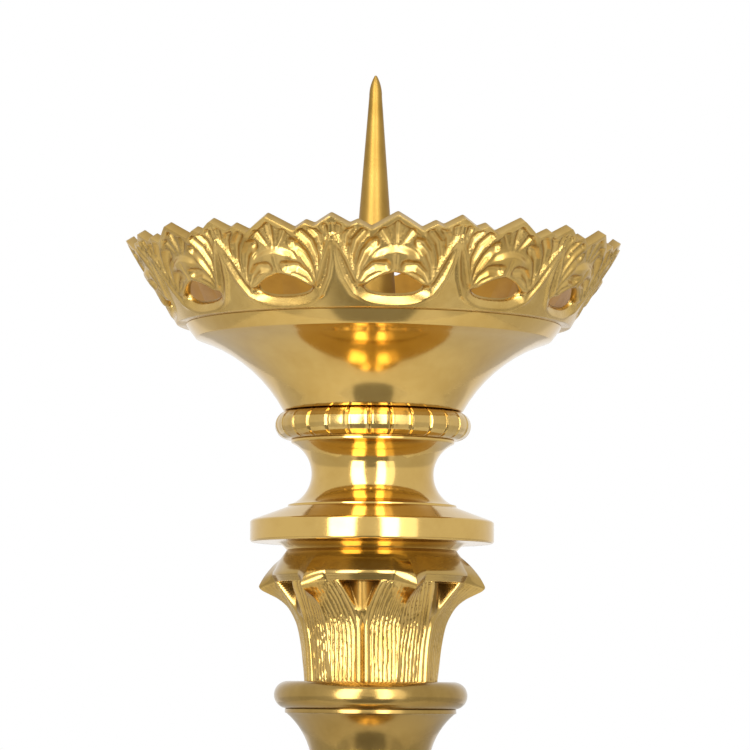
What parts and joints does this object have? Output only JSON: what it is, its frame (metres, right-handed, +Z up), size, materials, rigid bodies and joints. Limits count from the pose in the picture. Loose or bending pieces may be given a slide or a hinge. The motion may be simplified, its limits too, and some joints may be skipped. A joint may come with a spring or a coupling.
{
  "type": "pricket candle stand",
  "caption": "Free-standing brass candle stand: a spike in a wax pan with a pierced palmette gallery, on a turned stem with a leaf capital and a round stepped foot.",
  "frame": {"origin": "middle of the felt's underside, where the stand rests", "axes": "+Z up along the stem, -Y towards the viewer of the picture, +X to the viewer's right"},
  "size_m": [0.19, 0.19, 0.52],
  "materials": {
    "turned_brass": "polished, lightly brushed",
    "cast_brass": "cast, chased and polished on the high parts",
    "zinc_steel": "zinc plated",
    "felt": "felt"
  },
  "bodies": {
    "stand": {"felt_pad": "felt", "base_plate": "zinc_steel", "base_foot": "turned_brass", "base_dome": "turned_brass", "base_bead": "turned_brass", "base_bridge": "zinc_steel", "flat_washer": "zinc_steel", "lock_washer": "zinc_steel", "rod_nut": "zinc_steel", "tie_rod": "zinc_steel", "shaft_foot": "turned_brass", "shaft": "turned_brass", "shaft_collar": "turned_brass", "leaf_capital": "cast_brass", "neck_spool": "turned_brass", "gadroon_ring": "cast_brass", "pan_bell": "turned_brass", "pan_spacer": "turned_brass", "gallery": "cast_brass", "drip_dish": "turned_brass"},
    "washer": {"pricket_washer": "turned_brass"},
    "spike": {"pricket": "turned_brass"}
  },
  "joints": [
    {"name": "pricket_rise", "type": "slide", "parent": "stand", "child": "washer", "axis": [0, 0, 1], "range_m": [0, 0.01]},
    {"name": "pricket_turn", "type": "hinge", "parent": "washer", "child": "spike", "pos_m": [0, 0, 0.4449], "axis": [0, 0, 1], "range_deg": [0, 2880]}
  ],
  "couplings": [
    {"joint": "pricket_turn", "follows": "pricket_rise", "rad_per_m": 5026.5}
  ]
}
